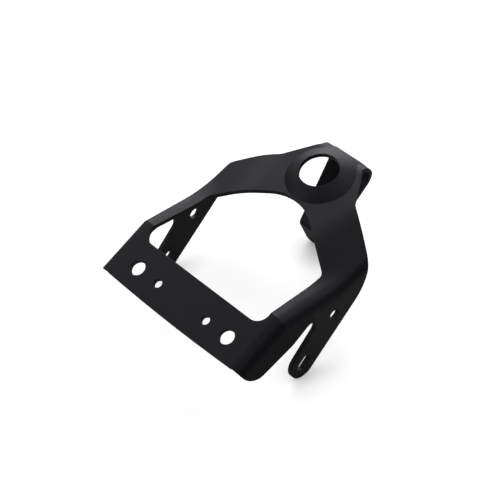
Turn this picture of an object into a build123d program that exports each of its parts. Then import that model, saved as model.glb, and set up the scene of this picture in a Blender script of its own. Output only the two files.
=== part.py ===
from build123d import *
import os
from math import asin, atan2, cos, degrees, radians, sin, sqrt, tan

os.makedirs("parts", exist_ok=True)

# Lengths are in millimetres and angles in degrees.
# X points to the right, Y to the rear and Z up the axis of the lamp seat.
# The origin is the centre of the seat hole's upper rim.

# Sheet and overall width
sheet = 3.2
body_width = 142.6
side_bend_r = 10.0

# Lamp seat on the neck
seat_hole_d = 28.6
seat_rise = 5.7
seat_base_d = 50.0

# Front plate with its row of four holes
plate_reach = 133.6
plate_drop = 7.1
plate_tilt = 11.5
plate_front = 15.9
plate_rear = 18.6
plate_bow = 1.5
bolt_spacing = 88.9
bolt_hole_d = 11.0
screw_spacing = 47.6
screw_hole_d = 6.4

# Side rails behind the plate
ridge_gap = 11.2
ridge_r = 40.0
valley_reach = 45.1
valley_r = 40.0

# Diagonal arms between the rails and the neck
arm_angle = 34.5
arm_fall = 11.6
arm_slope = 20.3
arm_bend = 43.1
arm_bend_r = 60.0
arm_front = 15.3
arm_rear = 17.75

# Opening and neck outline
rail_front_w = 13.1
rail_elbow_w = 15.7
opening_corner_r = 9.0
elbow_r = 6.0
neck_front = 25.8
neck_taper = 33.3
neck_side = 28.2
neck_corner_r = 6.0

# Side walls and legs
wall_splay = 14.0
wall_depth = 17.2
wall_slope = 6.5
wall_lean = 14.5
wall_corner_r = 13.0
slit_end_r = 6.4
slit_flat = 0.1
leg_reach = 100.0
leg_drop = 54.6
leg_tip_r = 11.4
leg_upper_slope = 30.7
leg_lower_slope = 27.2
shoulder_r = 36.0
leg_hole_pitch = 39.15
leg_hole_slope = 29.7
leg_hole_d = 8.2
slot_back = 0.5
slot_lift = 1.0
slot_length = 13.0
slot_width = 6.6
slot_slope = 29.0

# Rear tab and its foot
tab_start = 17.6
tab_bend_r = 11.8
fold_reach = 22.0
fold_blend_r = 14.7
tab_slope = 34.6
tab_length = 46.0
tab_top_w = 39.2
tab_end_w = 28.2
foot_bend_r = 4.0
foot_lean = 9.0
foot_length = 22.0
foot_corner_r = 4.0

# Sizes that follow from the ones above
half_width = body_width / 2
neck_z = -seat_rise
far = 2 * body_width
tilt = radians(plate_tilt)
arm = radians(arm_angle)
fall = radians(arm_fall)
drop = radians(arm_slope)
taper = radians(neck_taper)
plate_dir = Vector(0, cos(tilt), sin(tilt))
plate_up = Vector(0, -sin(tilt), cos(tilt))
arm_dir = Vector(cos(arm), -sin(arm), 0)
fall_dir = Vector(cos(fall), -sin(fall), 0)
arm_up = fall_dir * sin(drop) + Vector(0, 0, cos(drop))
hole_line = Vector(0, -plate_reach, -plate_drop)
front_edge = hole_line - plate_dir * plate_front
rear_edge = hole_line + plate_dir * plate_rear
ridge = rear_edge + plate_dir * ridge_gap
valley_z = neck_z - (half_width * cos(fall) + valley_reach * sin(fall) - arm_bend) * tan(drop)
rail = atan2(ridge.Z - valley_z, -valley_reach - ridge.Y)
rail_dir = Vector(0, cos(rail), -sin(rail))
rail_up = Vector(0, sin(rail), cos(rail))
plate_plane = Plane(origin=hole_line, x_dir=(1, 0, 0), z_dir=plate_up)
arm_plane = Plane(origin=fall_dir * arm_bend + Vector(0, 0, neck_z), z_dir=arm_up)


def side_point(point):
    """A point of the side view as sketch coordinates on the YZ plane."""
    return (point.Y, point.Z)


def line_y(x, distance):
    """Y at x on the line along an arm that passes the seat axis at this distance."""
    return (distance - x * sin(arm)) / cos(arm)


def profile(inset):
    """Side view of the block under plate, ridge and rail, moved inwards by inset."""
    top = ridge - (plate_up + rail_up) * (inset / (1 + plate_up.dot(rail_up)))
    nose = front_edge - plate_dir * plate_reach - plate_up * inset
    rail_end = ridge + rail_dir * plate_reach - rail_up * inset
    floor = -far / 2 - 2 * inset
    with BuildSketch(Plane.YZ) as side:
        with BuildLine():
            Polyline(side_point(nose), side_point(top), side_point(rail_end),
                     (rail_end.Y, floor), (nose.Y, floor), close=True)
        make_face()
        fillet(side.vertices().sort_by_distance((0, top.Y, top.Z))[0], ridge_r - inset)
    return side.sketch


def form(inset):
    """Right half of a block under the sheet's outer faces, moved inwards by inset."""
    past = 2 * inset
    floor = -far / 2 - past
    room = half_width - rail_elbow_w - elbow_r - inset / 4
    room_line = arm_front + (elbow_r + inset) / 4
    room_y = -neck_front - (elbow_r + inset) / 2
    room_x = (room_y * cos(arm) + room_line) / -sin(arm)

    with BuildPart() as rear:
        with Locations((-past, ridge.Y, neck_z - inset)):
            Box(half_width - inset + past, plate_reach + tab_start + past, -floor + neck_z - inset,
                align=(Align.MIN, Align.MIN, Align.MAX))
        split(bisect_by=arm_plane.offset(-inset), keep=Keep.BOTTOM)
        bends = rear.edges().filter_by(Axis((0, 0, 0), (sin(fall), cos(fall), 0)))
        fillet(bends, arm_bend_r - inset)

    with BuildPart() as block:
        extrude(profile(inset), amount=half_width - inset)
        add(rear.part)
        with BuildSketch(Plane.XY):
            with BuildLine():
                Polyline((-past, ridge.Y - past), (room, ridge.Y - past), (room, line_y(room, -room_line)),
                         (room_x, room_y), (-past, room_y), close=True)
            make_face()
        extrude(amount=far, both=True, mode=Mode.SUBTRACT)
        valley = block.edges().filter_by(Axis((0, 0, 0), rail_up.cross(arm_up)))
        fillet(valley, valley_r + inset)
        wall = block.faces().sort_by(Axis.X)[-1]
        rim = wall.edges().filter_by(Axis.Z, reverse=True).filter_by_position(Axis.Z, floor / 2, far)
        fillet(rim, side_bend_r - inset)
    return block.part


def front_form(inset):
    """Right front of the block, with a side that splays outwards, moved inwards by inset."""
    open_angle = 90 - wall_splay
    rim_x = half_width - side_bend_r + (side_bend_r - inset) * tan(radians(open_angle / 2))
    splay_reach = (wall_depth + side_bend_r) * tan(radians(wall_splay))
    with BuildPart() as block:
        extrude(profile(inset), amount=rim_x)
        extrude(block.faces().sort_by(Axis.X)[-1], amount=splay_reach, taper=open_angle)
        rim = block.edges().filter_by_position(Axis.X, rim_x, rim_x).filter_by(Axis.Z, reverse=True)
        fillet(rim.filter_by_position(Axis.Z, -far / 4, far), side_bend_r - inset)
    return block.part


# Outline of the neck and arm, seen from above
corner_x = (neck_side * cos(arm) - arm_rear * sin(taper)) / cos(arm + taper)
corner_y = (arm_rear * cos(taper) - neck_side * sin(arm)) / cos(arm + taper)
neck_end_x = (neck_side - tab_start * sin(taper)) / cos(taper)
outside = half_width + sheet
nose_y = front_edge.Y - plate_front
with BuildSketch(Plane.XY) as outline:
    with BuildLine():
        Polyline((0, nose_y), (outside, nose_y), (outside, line_y(outside, arm_rear)),
                 (corner_x, corner_y), (neck_end_x, tab_start), (0, tab_start), close=True)
    make_face()
    fillet(outline.vertices().sort_by_distance((corner_x, corner_y))[0], neck_corner_r)

# Opening between plate, rails, arms and neck, seen from above
front_x = half_width - rail_front_w
elbow_x = half_width - rail_elbow_w
elbow_y = line_y(elbow_x, -arm_front)
bay_y = -(neck_front - arm_front) / (1 - cos(arm))
bay_r = -neck_front - bay_y
with BuildSketch(Plane.XY) as opening:
    with BuildLine():
        bay = CenterArc((0, bay_y), bay_r, 90 - arm_angle, arm_angle)
        Polyline(bay @ 1, (0, rear_edge.Y), (front_x, rear_edge.Y), (elbow_x, elbow_y), bay @ 0)
    make_face()
    fillet(opening.vertices().sort_by_distance((front_x, rear_edge.Y))[0], opening_corner_r)
    fillet(opening.vertices().sort_by_distance((elbow_x, elbow_y))[0], elbow_r)
    mirror(about=Plane.YZ)

# Outline of a side wall and its leg, seen from the side
lean = radians(wall_lean)
rise = tan(radians(wall_slope))
upper = radians(leg_upper_slope)
lower = radians(leg_lower_slope)
hole_slope = radians(leg_hole_slope)
under = front_edge + plate_dir * plate_bow - plate_up * sheet
lean_dir = Vector(0, sin(lean), -cos(lean))
wall_z = front_edge.Z - wall_depth
lean_run = (under.Z - wall_z - (under.Y - front_edge.Y) * rise) / (cos(lean) + sin(lean) * rise)
wall_top = under - lean_dir * far
wall_corner = under + lean_dir * lean_run
slit_round = tan(radians(45 + wall_slope / 2)) + tan(radians(45 - leg_upper_slope / 2))
slit_end = slit_end_r * slit_round + slit_flat
leg_top_z = -leg_drop + leg_reach * tan(upper) + leg_tip_r / cos(upper)
slit_y = (wall_z - front_edge.Y * rise - leg_top_z - slit_end) / (tan(upper) - rise)
slit_top = (slit_y, wall_z + (slit_y - front_edge.Y) * rise)
slit_foot = (slit_y, slit_top[1] - slit_end)
tip_upper = (-leg_reach - leg_tip_r * sin(upper), -leg_drop + leg_tip_r * cos(upper))
tip_lower = (-leg_reach + leg_tip_r * sin(lower), -leg_drop - leg_tip_r * cos(lower))
heel_y = line_y(half_width, arm_rear)


def leg_under(y):
    """Height of the leg's lower edge line at y."""
    return -leg_drop + (y + leg_reach) * tan(lower) - leg_tip_r / cos(lower)


with BuildSketch(Plane.YZ) as wall_outline:
    with BuildLine():
        Polyline(side_point(wall_top), side_point(wall_corner), slit_top, slit_foot, tip_upper, tip_lower,
                 (0, leg_under(0)), (0, wall_top.Z), close=True)
    make_face()
    fillet(wall_outline.vertices().sort_by_distance(side_point(wall_corner))[0], wall_corner_r)
    fillet(wall_outline.vertices().sort_by_distance(slit_top)[0], slit_end_r)
    fillet(wall_outline.vertices().sort_by_distance(slit_foot)[0], slit_end_r)
    with Locations((-leg_reach, -leg_drop)):
        Circle(leg_tip_r)

# Waste behind the shoulder, where the arm's rear edge rounds into the leg
with BuildSketch(Plane.YZ.offset(half_width)) as shoulder:
    with BuildLine():
        Polyline((heel_y, far), (heel_y, leg_under(heel_y)), (-leg_reach, leg_under(-leg_reach)),
                 (-leg_reach, -far), (far, -far), (far, far), close=True)
    make_face()
    fillet(shoulder.vertices().sort_by_distance((heel_y, leg_under(heel_y)))[0], shoulder_r)

# Plate, ridge and rail as far back as the slit, with the wall that splays
with BuildPart() as front:
    add(front_form(0))
    add(front_form(sheet), mode=Mode.SUBTRACT)
    with BuildSketch(Plane.YZ) as front_side:
        with BuildLine():
            Polyline((slit_y, far), (slit_y, slit_top[1] - slit_end / 2),
                     (nose_y, slit_top[1] - slit_end / 2 - (slit_y - nose_y) * rise), (nose_y, far), close=True)
        make_face()
    extrude(front_side.sketch, amount=far, mode=Mode.INTERSECT)

# Right half of the pressed sheet, trimmed
with BuildPart() as half:
    add(form(0))
    add(form(sheet), mode=Mode.SUBTRACT)
    extrude(front_side.sketch, amount=far, mode=Mode.SUBTRACT)
    add(front.part)
    with BuildSketch(plate_plane):
        with BuildLine():
            bow = ThreePointArc((-half_width, plate_bow - plate_front), (0, -plate_front),
                                (half_width, plate_bow - plate_front))
            Polyline(bow @ 0, (-half_width, -far), (outside, -far), (outside, plate_bow - plate_front), bow @ 1)
        make_face()
    extrude(amount=far, both=True, mode=Mode.SUBTRACT)
    extrude(outline.sketch, amount=far, both=True, mode=Mode.INTERSECT)
    with BuildSketch(Plane.YZ.offset(half_width - side_bend_r)):
        Rectangle(2 * far, 2 * far)
        add(wall_outline.sketch_local, mode=Mode.SUBTRACT)
    extrude(amount=side_bend_r + sheet, mode=Mode.SUBTRACT)
    extrude(shoulder.sketch, amount=(half_width - corner_x - neck_corner_r) / cos(arm), dir=arm_dir * -1,
            mode=Mode.SUBTRACT)

# Domed lamp seat, running into the fold behind it
hole_r = seat_hole_d / 2
base_r = seat_base_d / 2
seat_ring_r = base_r + sheet / 2
dome_depth = (base_r**2 - hole_r**2 + seat_rise**2) / (2 * seat_rise)
dome_r = sqrt(hole_r**2 + dome_depth**2)
tab_bend_z = neck_z - tab_bend_r
fold_angle = asin(fold_reach / dome_r)
fold_y = (dome_r - fold_blend_r) * sin(fold_angle)
fold_z = (dome_r - fold_blend_r) * cos(fold_angle) - dome_depth


def tail(inset):
    """Block under the outer faces of dome, neck and fold, moved inwards by inset."""
    with BuildPart() as ball:
        with Locations((0, 0, -dome_depth)):
            Sphere(dome_r - inset)
        with BuildSketch(Plane.YZ):
            with Locations((fold_y, fold_z)):
                Circle(fold_blend_r - inset)
                Rectangle(far, 2 * far, rotation=-degrees(fold_angle), align=(Align.MAX, Align.CENTER))
        extrude(amount=far, both=True, mode=Mode.INTERSECT)
    with BuildPart() as block:
        with BuildSketch(Plane.YZ):
            with Locations((tab_start, tab_bend_z)):
                Circle(tab_bend_r - inset)
            with Locations((tab_start, neck_z - inset)):
                Rectangle(far, far, align=(Align.MAX, Align.MAX))
        extrude(amount=half_width + inset, both=True)
        add(ball.part)
        split(bisect_by=Plane.XY.offset(tab_bend_z - 2 * inset), keep=Keep.TOP)
    return block.part


# Rear tab folded back under the neck, with its foot turned down
tab_turn = 180 - tab_slope
foot_turn = 90 - tab_slope + foot_lean
tab_y = (neck_side - cos(taper) * tab_top_w / 2) / sin(taper)
with BuildSketch(Plane.YZ) as tab_side:
    with BuildLine():
        bend = JernArc((tab_start, neck_z - sheet / 2), (1, 0), tab_bend_r - sheet / 2, -tab_turn)
        slope = PolarLine(bend @ 1, tab_length, direction=bend % 1)
        toe = JernArc(slope @ 1, slope % 1, foot_bend_r - sheet / 2, foot_turn)
        PolarLine(toe @ 1, foot_length, direction=toe % 1)
    trace(line_width=sheet)
toe_z = (toe @ 0).Y
with BuildPart() as fold:
    add(tail(0))
    add(tail(sheet), mode=Mode.SUBTRACT)
    with BuildSketch(Plane.XY):
        with BuildLine():
            Polyline((0, tab_start), (neck_end_x, tab_start), (tab_top_w / 2, tab_y), (tab_top_w / 2, far),
                     (0, far), close=True)
        make_face()
        mirror(about=Plane.YZ)
        Circle(seat_ring_r)
    extrude(amount=far, both=True, mode=Mode.INTERSECT)
with BuildPart() as tab:
    extrude(tab_side.sketch, amount=half_width, both=True)
    with BuildSketch(Plane.XZ):
        with BuildLine():
            Polyline((0, tab_bend_z), (tab_top_w / 2, tab_bend_z), (tab_end_w / 2, toe_z), (tab_end_w / 2, -far),
                     (0, -far), close=True)
        make_face()
        mirror(about=Plane.YZ)
    extrude(amount=far, both=True, mode=Mode.INTERSECT)
    foot_up = Axis((0, 0, 0), (0, cos(radians(foot_lean)), sin(radians(foot_lean))))
    fillet(tab.edges().filter_by(foot_up).group_by(Axis.Z)[0], foot_corner_r)

# The whole bracket, with its holes
with BuildPart() as bracket:
    add(half.part)
    mirror(about=Plane.YZ)
    Cylinder(seat_ring_r, far, mode=Mode.SUBTRACT)
    add(fold.part)
    extrude(opening.sketch, amount=far, both=True, mode=Mode.SUBTRACT)
    Cylinder(hole_r, far, mode=Mode.SUBTRACT)
    add(tab.part)
    with Locations(plate_plane):
        with Locations((-bolt_spacing / 2, 0), (bolt_spacing / 2, 0)):
            Hole(bolt_hole_d / 2)
        with Locations((-screw_spacing / 2, 0), (screw_spacing / 2, 0)):
            Hole(screw_hole_d / 2)
    with BuildSketch(Plane.YZ):
        with Locations((leg_hole_pitch * cos(hole_slope) - leg_reach, leg_hole_pitch * sin(hole_slope) - leg_drop)):
            Circle(leg_hole_d / 2)
        with Locations((slot_back - leg_reach, slot_lift - leg_drop)):
            SlotOverall(slot_length, slot_width, rotation=slot_slope)
    extrude(amount=body_width, both=True, mode=Mode.SUBTRACT)
bracket.part.label = "headlight_bracket"
export_step(bracket.part, "parts/headlight_bracket.step")
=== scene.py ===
# %% [markdown]
# A headlight mounting bracket, coated and lit.
#
# The bracket is one blank of steel sheet. It was punched, pressed and folded, and then powder coated in
# satin black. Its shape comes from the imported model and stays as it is, because a pressed sheet with true
# bends needs no second mesh. This lesson is about what the solid lacks: the coat, the white paper that the
# bracket stands on, the soft lamps that draw its bends, and the camera.

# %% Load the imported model
import math

import bpy
from mathutils import Matrix, Quaternion, Vector

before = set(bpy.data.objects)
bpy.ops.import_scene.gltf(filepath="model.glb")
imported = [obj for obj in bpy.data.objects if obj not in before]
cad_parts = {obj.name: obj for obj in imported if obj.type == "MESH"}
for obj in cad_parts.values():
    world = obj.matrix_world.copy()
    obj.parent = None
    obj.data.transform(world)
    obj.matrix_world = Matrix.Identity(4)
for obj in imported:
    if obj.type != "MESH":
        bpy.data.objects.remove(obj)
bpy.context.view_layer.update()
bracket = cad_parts["headlight_bracket"]

# %% [markdown]
# A black coat has almost no colour of its own. What the eye reads is its gloss: how wide the highlights
# are, the fine orange-peel ripple that powder leaves when it melts and sets in the oven, and the slow
# change of gloss over a face where the powder lay thicker. The ripple and the slow change are noise in
# Object coordinates, so they sit still on the steel from every side. They could be painted images, but
# noise has no seams at the bends and can be tried at other sizes. So the two sizes, in waves per metre,
# are the inputs of a node group.

# %% A node group for the ripple and the patches of a baked coat
ripples_per_metre = 900.0
ripple_detail = 2.0
patches_per_metre = 45.0
patch_detail = 3.0


def baked_coat():
    group = bpy.data.node_groups.new("baked_coat", "ShaderNodeTree")
    sockets = group.interface
    for name, waves_per_metre in (("Ripple Scale", ripples_per_metre), ("Patch Scale", patches_per_metre)):
        scale = sockets.new_socket(name, in_out="INPUT", socket_type="NodeSocketFloat")
        scale.default_value = waves_per_metre
    for name in ("Ripple", "Patch"):
        sockets.new_socket(name, in_out="OUTPUT", socket_type="NodeSocketFloat")
    nodes = group.nodes
    link = group.links.new
    scales = nodes.new("NodeGroupInput")
    results = nodes.new("NodeGroupOutput")
    place = nodes.new("ShaderNodeTexCoord")
    for name, detail in (("Ripple", ripple_detail), ("Patch", patch_detail)):
        noise = nodes.new("ShaderNodeTexNoise")
        noise.inputs["Detail"].default_value = detail
        link(place.outputs["Object"], noise.inputs["Vector"])
        link(scales.outputs[name + " Scale"], noise.inputs["Scale"])
        link(noise.outputs["Fac"], results.inputs[name])
    return group


coat_noise = baked_coat()
print("node group:", coat_noise.name, [item.name for item in coat_noise.interface.items_tree])

# %% [markdown]
# The coat itself is one shader. Its base is nearly black with a trace of blue, and a low index of
# refraction keeps it satin: faces seen straight on stay dark, and faces seen at a slant turn grey.
# The patches move the roughness a little, and the ripple moves both the tone and the surface.
# The punched edges of the sheet are sharp in the model, and a coat rounds them by half a millimetre or so.
# A Bevel modifier could cut that round into the mesh. The Bevel node gives it to the shading alone, under
# the ripple, so the mesh keeps its true size.

# %% Satin black powder coat
coat_ior = 1.3
least_rough = 0.48
most_rough = 0.60
deep_black = (0.0035, 0.0034, 0.0046, 1)
pale_black = (0.0065, 0.0063, 0.0084, 1)
edge_round = 0.0006
edge_samples = 8
peel_strength = 0.5
peel_height = 0.0001


def satin_black():
    coat = bpy.data.materials.new("satin_black_coat")
    coat.use_nodes = True
    nodes = coat.node_tree.nodes
    link = coat.node_tree.links.new
    shader = nodes["Principled BSDF"]
    shader.inputs["IOR"].default_value = coat_ior
    grain = nodes.new("ShaderNodeGroup")
    grain.node_tree = coat_noise
    gloss = nodes.new("ShaderNodeMapRange")
    gloss.inputs["To Min"].default_value = least_rough
    gloss.inputs["To Max"].default_value = most_rough
    link(grain.outputs["Patch"], gloss.inputs["Value"])
    link(gloss.outputs["Result"], shader.inputs["Roughness"])
    tone = nodes.new("ShaderNodeMix")
    tone.data_type = "RGBA"
    tone.inputs["A"].default_value = deep_black
    tone.inputs["B"].default_value = pale_black
    link(grain.outputs["Ripple"], tone.inputs["Factor"])
    link(tone.outputs["Result"], shader.inputs["Base Color"])
    edge = nodes.new("ShaderNodeBevel")
    edge.samples = edge_samples
    edge.inputs["Radius"].default_value = edge_round
    peel = nodes.new("ShaderNodeBump")
    peel.inputs["Strength"].default_value = peel_strength
    peel.inputs["Distance"].default_value = peel_height
    link(grain.outputs["Ripple"], peel.inputs["Height"])
    link(edge.outputs["Normal"], peel.inputs["Normal"])
    link(peel.outputs["Normal"], shader.inputs["Normal"])
    return coat


coat = satin_black()
for slot in bracket.material_slots:
    slot.material = coat
print("coat:", coat.name, "on", len(bracket.material_slots), "slot")

# %% [markdown]
# The bracket keeps the frame of its lamp seat, so it leans a little when it is put down.
# Seen from the side it rests on the tips of its two legs and on the end of the foot under the seat.
# Those points could be typed in, but the mesh knows them: they are the ends of the edge of the side
# view's lower hull that lies under the middle of the bracket.

# %% Find how the bracket rests
def resting_edge(piece):
    micrometre = 6
    points = sorted({(round(v.co.y, micrometre), round(v.co.z, micrometre)) for v in piece.data.vertices})
    hull = []
    for y, z in points:
        while len(hull) > 1:
            (first_y, first_z), (last_y, last_z) = hull[-2], hull[-1]
            if (last_y - first_y) * (z - first_z) > (last_z - first_z) * (y - first_y):
                break
            hull.pop()
        hull.append((y, z))
    middle_y = sum(y for y, z in points) / len(points)
    return next((a, b) for a, b in zip(hull, hull[1:]) if a[0] <= middle_y <= b[0])


leg_tip, foot_end = resting_edge(bracket)
floor_tilt = math.atan2(foot_end[1] - leg_tip[1], foot_end[0] - leg_tip[0])
print("rests on y, z", leg_tip, "and", foot_end, "floor tilt", round(math.degrees(floor_tilt), 2))

# %% [markdown]
# The photograph's floor is white paper with faint shadows. Paper that was white by lamplight alone would
# need so much light that the black coat would turn grey, and its shadows would be heavy. So the paper is
# grey to the lamps and glows for the camera. The coat's gloss sees a small share of the same glow, because
# the legs in the photograph mirror a darker room than the white that surrounds them. Near the foot and the
# leg tips the glow is dimmed by how hidden the paper is, which paints a soft contact shadow into the glow.

# %% White paper
paper_grey = (0.42, 0.42, 0.42, 1)
paper_glow = 0.77
glow_share_in_gloss = 0.08
contact_reach = 0.022


def white_paper():
    paper = bpy.data.materials.new("white_paper")
    paper.use_nodes = True
    nodes = paper.node_tree.nodes
    link = paper.node_tree.links.new
    nodes.remove(nodes["Principled BSDF"])
    matt = nodes.new("ShaderNodeBsdfDiffuse")
    matt.inputs["Color"].default_value = paper_grey
    # painted contact shadow: the glow is darkened where the bracket hides the paper
    painted_contact_shade = nodes.new("ShaderNodeAmbientOcclusion")
    painted_contact_shade.inputs["Distance"].default_value = contact_reach
    dimmed = nodes.new("ShaderNodeMath")
    dimmed.operation = "MULTIPLY"
    link(painted_contact_shade.outputs["AO"], dimmed.inputs[0])
    dimmed.inputs[1].default_value = paper_glow
    glow = nodes.new("ShaderNodeEmission")
    link(dimmed.outputs[0], glow.inputs["Strength"])
    unlit = nodes.new("ShaderNodeEmission")
    unlit.inputs["Strength"].default_value = 0
    rays = nodes.new("ShaderNodeLightPath")
    seen = nodes.new("ShaderNodeMath")
    seen.operation = "MULTIPLY_ADD"
    link(rays.outputs["Is Glossy Ray"], seen.inputs[0])
    seen.inputs[1].default_value = glow_share_in_gloss
    link(rays.outputs["Is Camera Ray"], seen.inputs[2])
    pick = nodes.new("ShaderNodeMixShader")
    link(seen.outputs[0], pick.inputs[0])
    link(unlit.outputs[0], pick.inputs[1])
    link(glow.outputs[0], pick.inputs[2])
    both = nodes.new("ShaderNodeAddShader")
    link(matt.outputs[0], both.inputs[0])
    link(pick.outputs[0], both.inputs[1])
    link(both.outputs[0], nodes["Material Output"].inputs["Surface"])
    return paper


paper = white_paper()
print("paper:", paper.name, "glow", paper_glow)

# %% [markdown]
# The floor is one large flat sheet. The bracket must stay in its own frame, so the floor is tilted to meet
# the leg tips and the foot, instead of the bracket being turned to stand on a level floor.

# %% Paper floor
scene = bpy.context.scene
floor_half_side = 6.0


def paper_floor():
    low = -floor_half_side
    high = floor_half_side
    sheet = bpy.data.meshes.new("paper_floor")
    corners = [(low, low, 0), (high, low, 0), (high, high, 0), (low, high, 0)]
    sheet.from_pydata(corners, [], [(0, 1, 2, 3)])
    sheet.transform(Matrix.Translation((0, *leg_tip)) @ Matrix.Rotation(floor_tilt, 4, "X"))
    sheet.materials.append(paper)
    floor = bpy.data.objects.new("paper_floor", sheet)
    scene.collection.objects.link(floor)
    return floor


floor = paper_floor()
print("floor:", floor.name, "half side", floor_half_side, "m")

# %% [markdown]
# The room is dark, as a studio is, so that the lamps alone draw the bends. A bright room would be simpler,
# but it would lay the same grey on every face. Where the camera can see past the paper, in the low side
# views, it sees the paper's own glow, so the paper has no far edge.

# %% A dark room
room_grey = (0.02, 0.02, 0.02, 1)
glow_grey = (paper_glow, paper_glow, paper_glow, 1)


def studio_room():
    world = bpy.data.worlds.new("studio_room")
    scene.world = world
    world.use_nodes = True
    nodes = world.node_tree.nodes
    link = world.node_tree.links.new
    rays = nodes.new("ShaderNodeLightPath")
    shade = nodes.new("ShaderNodeMix")
    shade.data_type = "RGBA"
    shade.inputs["A"].default_value = room_grey
    shade.inputs["B"].default_value = glow_grey
    link(rays.outputs["Is Camera Ray"], shade.inputs["Factor"])
    link(shade.outputs["Result"], nodes["Background"].inputs["Color"])
    return world


room = studio_room()
print("room:", room.name)

# %% [markdown]
# A satin black part shows the lamps more than itself, so each lamp is placed for a face. One large box
# overhead would be simpler, but it would give the plate, the arms and the dome one flat sheen. Here a long,
# low strip behind the left side brightens the fold, the rim of the dome and the outer edges of the left
# arm. Three soft boxes on the left stand where the top faces mirror them. Fills at the front and at the
# rear right, and a small box high over the right side, keep the bends from going black. No lamp stands low
# on the right, so the right wall and leg stay dark.
# A lamp is given by its turn from +X towards +Y and its height angle, both in degrees, then its width and
# height in metres, and its power.

# %% Soft lamps
lamp_target = Vector((0, -0.06, -0.03))
lamp_distance = 1.6
cool_white = (0.96, 0.95, 1.0)


def soft_lamp(name, turn, rise, width, height, watts):
    turn = math.radians(turn)
    rise = math.radians(rise)
    level = math.cos(rise)
    away = Vector((level * math.cos(turn), level * math.sin(turn), math.sin(rise)))
    light = bpy.data.lights.new(name, "AREA")
    light.shape = "RECTANGLE"
    light.size = width
    light.size_y = height
    light.energy = watts
    light.color = cool_white
    lamp = bpy.data.objects.new(name, light)
    lamp.location = lamp_target + away * lamp_distance
    lamp.rotation_euler = (-away).to_track_quat("-Z", "Y").to_euler()
    scene.collection.objects.link(lamp)
    print("lamp:", name, watts, "W")


soft_lamp("rear_strip", turn=125, rise=8, width=1.4, height=0.5, watts=19)
soft_lamp("left_rear_box", turn=120, rise=40, width=0.7, height=0.7, watts=5.5)
soft_lamp("left_box", turn=150, rise=40, width=1.0, height=0.7, watts=6.5)
soft_lamp("left_front_box", turn=185, rise=42, width=0.7, height=0.7, watts=3)
soft_lamp("front_fill", turn=240, rise=40, width=0.9, height=0.7, watts=7)
soft_lamp("rear_right_fill", turn=60, rise=40, width=0.9, height=0.7, watts=6.5)
soft_lamp("top_box", turn=0, rise=68, width=0.6, height=0.6, watts=3)

# %% [markdown]
# The photograph was taken with a long lens, from above the right end of the plate. The view could be
# matched by eye, but then every edge would be a little out. So the camera's place, its roll and its lens
# were worked out from the holes, corners and edges that can be told apart in the photograph.
# The view transform is Standard, so that a colour is shown as it is written.

# %% Camera
sensor_mm = 36
lens_mm = 115.7
camera_place = Vector((0.58265, -0.4163, 0.8399))
camera_looks_at = Vector((0.0110, -0.0779, 0))
camera_roll = math.radians(-17.085)


def photo_camera():
    optics = bpy.data.cameras.new("photo_camera")
    optics.sensor_width = sensor_mm
    optics.lens = lens_mm
    camera = bpy.data.objects.new("photo_camera", optics)
    roll = Quaternion((0, 0, 1), camera_roll)
    turn = (camera_looks_at - camera_place).to_track_quat("-Z", "Y") @ roll
    camera.matrix_world = Matrix.LocRotScale(camera_place, turn, None)
    scene.collection.objects.link(camera)
    scene.camera = camera
    return camera


camera = photo_camera()
scene.view_settings.view_transform = "Standard"
camera_distance = (camera_looks_at - camera_place).length
print("camera:", camera.name, lens_mm, "mm lens,", round(camera_distance, 3), "m away")
